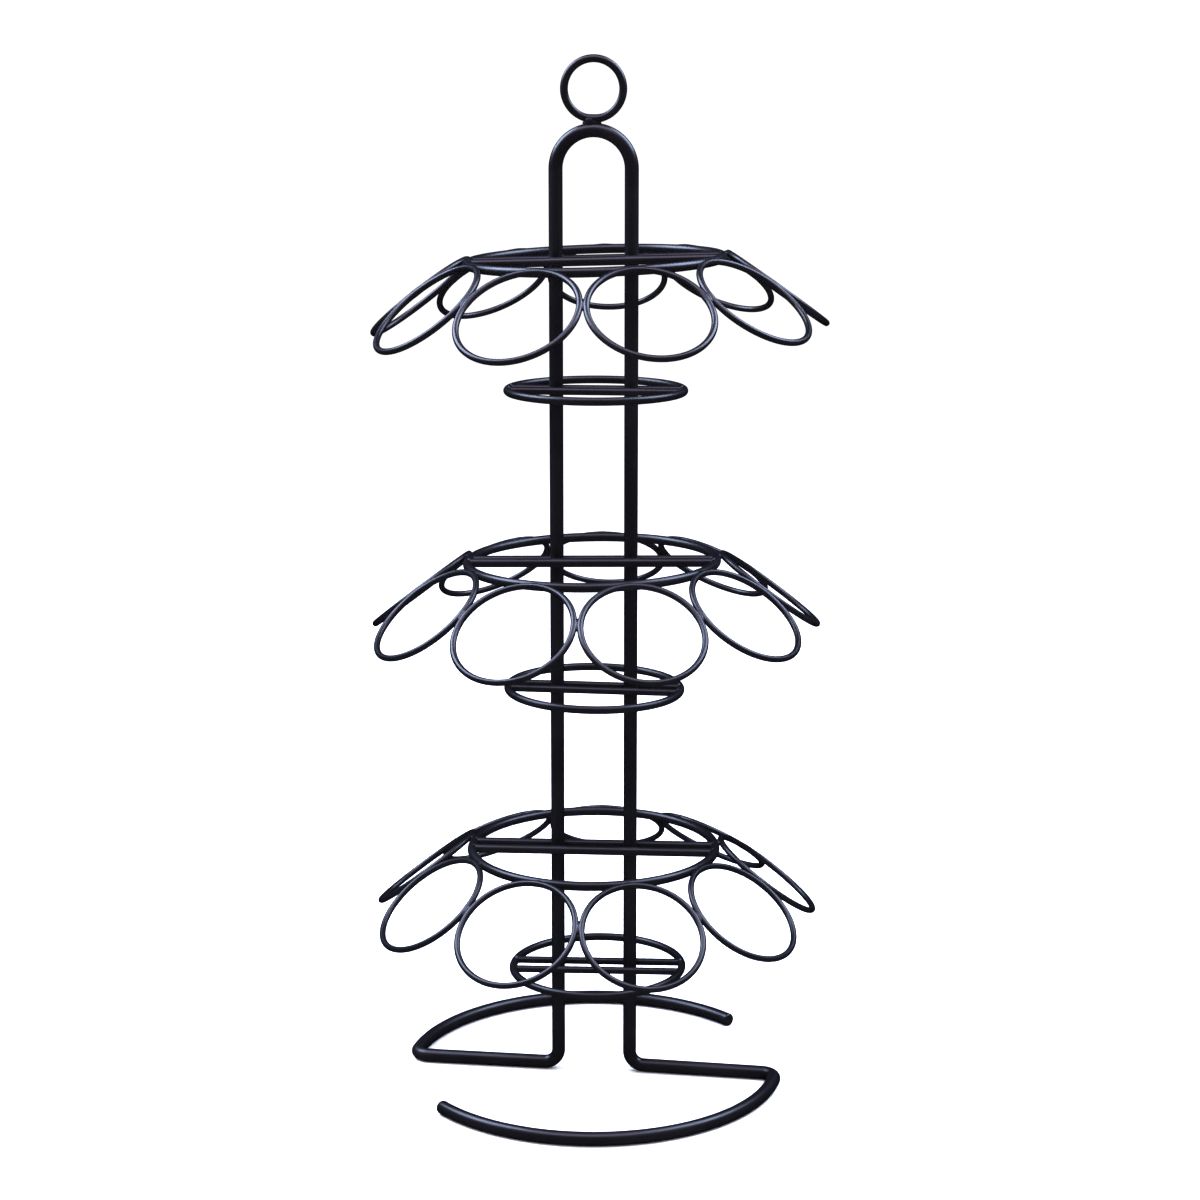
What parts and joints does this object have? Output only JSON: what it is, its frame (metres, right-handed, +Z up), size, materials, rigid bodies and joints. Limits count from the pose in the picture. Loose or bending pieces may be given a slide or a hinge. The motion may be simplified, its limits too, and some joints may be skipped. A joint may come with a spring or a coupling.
{
  "type": "coffee capsule tree",
  "caption": "Welded black wire stand whose stacked tiers of sloping rings hold coffee capsules around a tall looped frame on a curved rod base.",
  "frame": {"origin": "on the table top, midway between the two uprights", "axes": "+Z up along the uprights, +X to the right along the foot bars, +Y to the rear, away from the viewer"},
  "size_m": [0.2043, 0.2009, 0.4624],
  "materials": {
    "frame_rod": "satin black powder coat",
    "grip_wire": "satin black powder coat",
    "hoop_wire": "satin black powder coat",
    "guard_wire": "satin black powder coat",
    "ring_wire": "satin black powder coat"
  },
  "bodies": {
    "root": {"frame": "frame_rod", "grip_ring": "grip_wire", "bottom_hoop": "hoop_wire", "bottom_front_bar": "hoop_wire", "bottom_rear_bar": "hoop_wire", "bottom_ring_1": "ring_wire", "bottom_ring_2": "ring_wire", "bottom_ring_3": "ring_wire", "bottom_ring_4": "ring_wire", "bottom_ring_5": "ring_wire", "bottom_ring_6": "ring_wire", "bottom_ring_7": "ring_wire", "bottom_ring_8": "ring_wire", "bottom_ring_9": "ring_wire", "bottom_guard_hoop": "guard_wire", "bottom_guard_front_bar": "guard_wire", "bottom_guard_rear_bar": "guard_wire", "middle_hoop": "hoop_wire", "middle_front_bar": "hoop_wire", "middle_rear_bar": "hoop_wire", "middle_ring_1": "ring_wire", "middle_ring_2": "ring_wire", "middle_ring_3": "ring_wire", "middle_ring_4": "ring_wire", "middle_ring_5": "ring_wire", "middle_ring_6": "ring_wire", "middle_ring_7": "ring_wire", "middle_ring_8": "ring_wire", "middle_ring_9": "ring_wire", "middle_guard_hoop": "guard_wire", "middle_guard_front_bar": "guard_wire", "middle_guard_rear_bar": "guard_wire", "top_hoop": "hoop_wire", "top_front_bar": "hoop_wire", "top_rear_bar": "hoop_wire", "top_ring_1": "ring_wire", "top_ring_2": "ring_wire", "top_ring_3": "ring_wire", "top_ring_4": "ring_wire", "top_ring_5": "ring_wire", "top_ring_6": "ring_wire", "top_ring_7": "ring_wire", "top_ring_8": "ring_wire", "top_ring_9": "ring_wire", "top_guard_hoop": "guard_wire", "top_guard_front_bar": "guard_wire", "top_guard_rear_bar": "guard_wire"}
  },
  "joints": []
}
